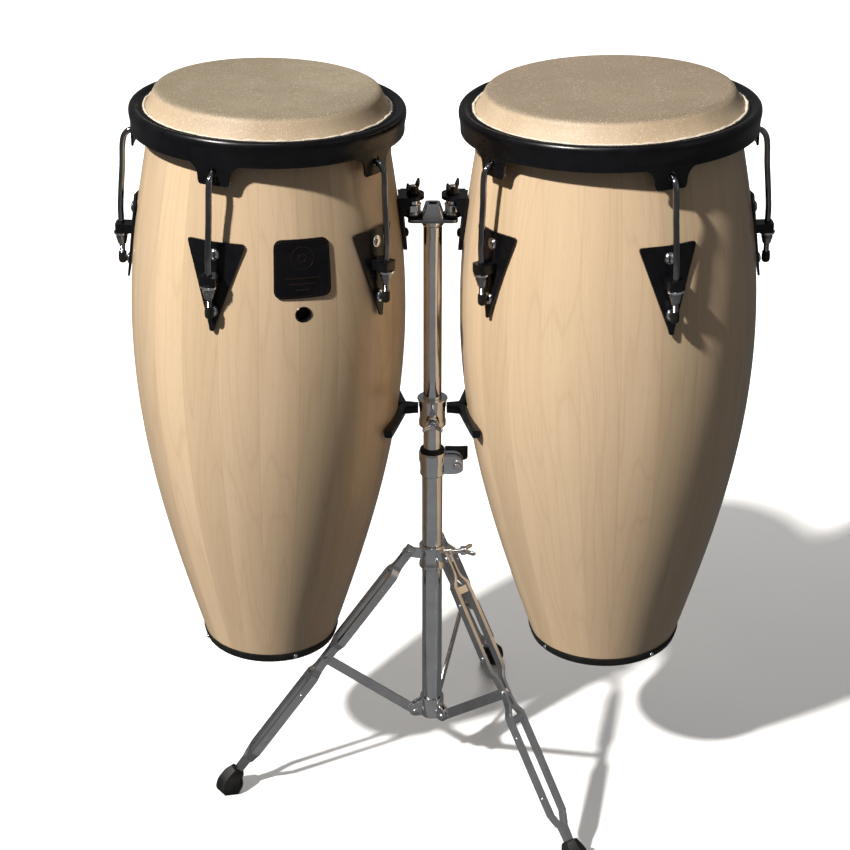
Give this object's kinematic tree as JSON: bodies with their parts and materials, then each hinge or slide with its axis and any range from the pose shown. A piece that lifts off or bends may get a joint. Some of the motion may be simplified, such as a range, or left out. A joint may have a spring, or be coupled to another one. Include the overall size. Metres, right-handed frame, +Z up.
{
  "type": "conga drums on a double stand",
  "caption": "Pair of barrel-shaped conga drums with rawhide heads and hooked tuning hardware, hung side by side from a folding tripod stand.",
  "frame": {"origin": "on the floor under the centre of the bounding box", "axes": "+Z up, -Y towards the player, +X from the smaller drum to the larger drum"},
  "size_m": [0.7666, 0.5038, 0.9335],
  "materials": {
    "shell_wood": "clear gloss lacquer",
    "rawhide": "natural matte",
    "black_steel": "semi-gloss powder coat",
    "black_rubber": "matte",
    "chrome": "polished"
  },
  "bodies": {
    "base": {"lower_tube": "chrome", "hub": "chrome", "height_clamp": "chrome"},
    "clamp_screw": {"clamp_wing_screw": "chrome"},
    "collar": {"leg_collar": "chrome"},
    "collar_screw": {"collar_wing_screw": "chrome"},
    "cradle": {"cradle": "black_rubber"},
    "cradle_screw": {"cradle_wing_screw": "chrome"},
    "left_leg": {"left_leg": "chrome", "left_foot": "black_rubber"},
    "left_brace": {"left_brace": "chrome"},
    "front_leg": {"front_leg": "chrome", "front_foot": "black_rubber"},
    "front_brace": {"front_brace": "chrome"},
    "rear_leg": {"rear_leg": "chrome", "rear_foot": "black_rubber"},
    "rear_brace": {"rear_brace": "chrome"},
    "quinto_rim": {"quinto_rim": "black_steel", "quinto_hook_1": "chrome", "quinto_hook_2": "chrome", "quinto_hook_3": "chrome", "quinto_hook_4": "chrome", "quinto_hook_5": "chrome"},
    "quinto_nut_1": {"quinto_nut_1": "chrome"},
    "quinto_nut_2": {"quinto_nut_2": "chrome"},
    "quinto_nut_3": {"quinto_nut_3": "chrome"},
    "quinto_nut_4": {"quinto_nut_4": "chrome"},
    "quinto_nut_5": {"quinto_nut_5": "chrome"},
    "quinto_wing_nut": {"quinto_wing_nut": "black_steel"},
    "conga_rim": {"conga_rim": "black_steel", "conga_hook_1": "chrome", "conga_hook_2": "chrome", "conga_hook_3": "chrome", "conga_hook_4": "chrome", "conga_hook_5": "chrome"},
    "conga_nut_1": {"conga_nut_1": "chrome"},
    "conga_nut_2": {"conga_nut_2": "chrome"},
    "conga_nut_3": {"conga_nut_3": "chrome"},
    "conga_nut_4": {"conga_nut_4": "chrome"},
    "conga_nut_5": {"conga_nut_5": "chrome"},
    "conga_wing_nut": {"conga_wing_nut": "black_steel"},
    "pole": {"upper_tube": "chrome", "quinto_shell": "shell_wood", "quinto_head": "rawhide", "quinto_base_ring": "black_steel", "quinto_mount_bracket": "black_steel", "quinto_lug_1": "black_steel", "quinto_lug_2": "black_steel", "quinto_lug_3": "black_steel", "quinto_lug_4": "black_steel", "quinto_lug_5": "black_steel", "conga_shell": "shell_wood", "conga_head": "rawhide", "conga_base_ring": "black_steel", "conga_mount_bracket": "black_steel", "conga_lug_1": "black_steel", "conga_lug_2": "black_steel", "conga_lug_3": "black_steel", "conga_lug_4": "black_steel", "conga_lug_5": "black_steel"}
  },
  "joints": [
    {"name": "pole_height", "type": "slide", "parent": "base", "child": "pole", "axis": [0, 0, 1], "range_m": [0, 0.12]},
    {"name": "leg_fold", "type": "slide", "parent": "base", "child": "collar", "axis": [0, 0, 1], "range_m": [0, 0.08]},
    {"name": "clamp_screw_turn", "type": "hinge", "parent": "base", "child": "clamp_screw", "pos_m": [0.0165, -0.02473, 0.456], "axis": [0, 1, 0], "range_deg": [0, 720]},
    {"name": "collar_screw_turn", "type": "hinge", "parent": "collar", "child": "collar_screw", "pos_m": [0.00271, -0.02161, 0.327], "axis": [0.982, 0.1891, 0], "range_deg": [0, 720]},
    {"name": "cradle_height", "type": "slide", "parent": "pole", "child": "cradle", "axis": [0, 0, 1], "range_m": [-0.02, 0]},
    {"name": "cradle_screw_turn", "type": "hinge", "parent": "cradle", "child": "cradle_screw", "pos_m": [-0.0135, -0.04173, 0.52], "axis": [0, -1, 0], "range_deg": [0, 720]},
    {"name": "left_leg_hinge", "type": "hinge", "parent": "collar", "child": "left_leg", "pos_m": [-0.04433, -0.03066, 0.3335], "axis": [0.1891, -0.982, 0], "range_deg": [0, 24.7]},
    {"name": "left_brace_hinge", "type": "hinge", "parent": "base", "child": "left_brace", "pos_m": [-0.03549, -0.02896, 0.093], "axis": [0.1891, -0.982, 0], "range_deg": [-32.7, 0]},
    {"name": "front_leg_hinge", "type": "hinge", "parent": "collar", "child": "front_leg", "pos_m": [0.00706, -0.04846, 0.3335], "axis": [0.7559, 0.6547, 0], "range_deg": [0, 24.7]},
    {"name": "front_brace_hinge", "type": "hinge", "parent": "base", "child": "front_brace", "pos_m": [0.00117, -0.04166, 0.093], "axis": [0.7559, 0.6547, 0], "range_deg": [-32.7, 0]},
    {"name": "rear_leg_hinge", "type": "hinge", "parent": "collar", "child": "rear_leg", "pos_m": [-0.00322, 0.00495, 0.3335], "axis": [-0.9449, 0.3272, 0], "range_deg": [0, 24.7]},
    {"name": "rear_brace_hinge", "type": "hinge", "parent": "base", "child": "rear_brace", "pos_m": [-0.00617, -0.00356, 0.093], "axis": [-0.9449, 0.3272, 0], "range_deg": [-32.7, 0]},
    {"name": "quinto_rim_lift", "type": "slide", "parent": "pole", "child": "quinto_rim", "axis": [0.0314, 0, 0.9995], "range_m": [0, 0.005]},
    {"name": "quinto_nut_1_turn", "type": "hinge", "parent": "pole", "child": "quinto_nut_1", "pos_m": [-0.06577, 0.07549, 0.74008], "axis": [0.0314, 0, 0.9995], "range_deg": [-1441, 0]},
    {"name": "quinto_nut_2_turn", "type": "hinge", "parent": "pole", "child": "quinto_nut_2", "pos_m": [-0.2563, 0.13743, 0.74607], "axis": [0.0314, 0, 0.9995], "range_deg": [-1441, 0]},
    {"name": "quinto_nut_3_turn", "type": "hinge", "parent": "pole", "child": "quinto_nut_3", "pos_m": [-0.37406, -0.02473, 0.74977], "axis": [0.0314, 0, 0.9995], "range_deg": [-1441, 0]},
    {"name": "quinto_nut_4_turn", "type": "hinge", "parent": "pole", "child": "quinto_nut_4", "pos_m": [-0.2563, -0.18688, 0.74607], "axis": [0.0314, 0, 0.9995], "range_deg": [-1441, 0]},
    {"name": "quinto_nut_5_turn", "type": "hinge", "parent": "pole", "child": "quinto_nut_5", "pos_m": [-0.06577, -0.12494, 0.74008], "axis": [0.0314, 0, 0.9995], "range_deg": [-1441, 0]},
    {"name": "quinto_wing_nut_turn", "type": "hinge", "parent": "pole", "child": "quinto_wing_nut", "pos_m": [-0.0362, -0.02473, 0.808], "axis": [0, 0, 1], "range_deg": [0, 1080]},
    {"name": "conga_rim_lift", "type": "slide", "parent": "pole", "child": "conga_rim", "axis": [-0.0314, 0, 0.9995], "range_m": [0, 0.005]},
    {"name": "conga_nut_1_turn", "type": "hinge", "parent": "pole", "child": "conga_nut_1", "pos_m": [0.04046, -0.13317, 0.73973], "axis": [-0.0314, 0, 0.9995], "range_deg": [-1441, 0]},
    {"name": "conga_nut_2_turn", "type": "hinge", "parent": "pole", "child": "conga_nut_2", "pos_m": [0.24663, -0.2002, 0.74621], "axis": [-0.0314, 0, 0.9995], "range_deg": [-1441, 0]},
    {"name": "conga_nut_3_turn", "type": "hinge", "parent": "pole", "child": "conga_nut_3", "pos_m": [0.37406, -0.02473, 0.75021], "axis": [-0.0314, 0, 0.9995], "range_deg": [-1441, 0]},
    {"name": "conga_nut_4_turn", "type": "hinge", "parent": "pole", "child": "conga_nut_4", "pos_m": [0.24663, 0.15074, 0.74621], "axis": [-0.0314, 0, 0.9995], "range_deg": [-1441, 0]},
    {"name": "conga_nut_5_turn", "type": "hinge", "parent": "pole", "child": "conga_nut_5", "pos_m": [0.04046, 0.08372, 0.73973], "axis": [-0.0314, 0, 0.9995], "range_deg": [-1441, 0]},
    {"name": "conga_wing_nut_turn", "type": "hinge", "parent": "pole", "child": "conga_wing_nut", "pos_m": [0.0092, -0.02473, 0.808], "axis": [0, 0, 1], "range_deg": [0, 1080]}
  ],
  "couplings": [
    {"joint": "left_leg_hinge", "follows": "leg_fold", "rad_per_m": 5.351},
    {"joint": "left_brace_hinge", "follows": "leg_fold", "rad_per_m": -7.107},
    {"joint": "front_leg_hinge", "follows": "leg_fold", "rad_per_m": 5.351},
    {"joint": "front_brace_hinge", "follows": "leg_fold", "rad_per_m": -7.107},
    {"joint": "rear_leg_hinge", "follows": "leg_fold", "rad_per_m": 5.351},
    {"joint": "rear_brace_hinge", "follows": "leg_fold", "rad_per_m": -7.107},
    {"joint": "quinto_nut_1_turn", "follows": "quinto_rim_lift", "rad_per_m": -5026.5},
    {"joint": "quinto_nut_2_turn", "follows": "quinto_rim_lift", "rad_per_m": -5026.5},
    {"joint": "quinto_nut_3_turn", "follows": "quinto_rim_lift", "rad_per_m": -5026.5},
    {"joint": "quinto_nut_4_turn", "follows": "quinto_rim_lift", "rad_per_m": -5026.5},
    {"joint": "quinto_nut_5_turn", "follows": "quinto_rim_lift", "rad_per_m": -5026.5},
    {"joint": "conga_nut_1_turn", "follows": "conga_rim_lift", "rad_per_m": -5026.5},
    {"joint": "conga_nut_2_turn", "follows": "conga_rim_lift", "rad_per_m": -5026.5},
    {"joint": "conga_nut_3_turn", "follows": "conga_rim_lift", "rad_per_m": -5026.5},
    {"joint": "conga_nut_4_turn", "follows": "conga_rim_lift", "rad_per_m": -5026.5},
    {"joint": "conga_nut_5_turn", "follows": "conga_rim_lift", "rad_per_m": -5026.5}
  ]
}
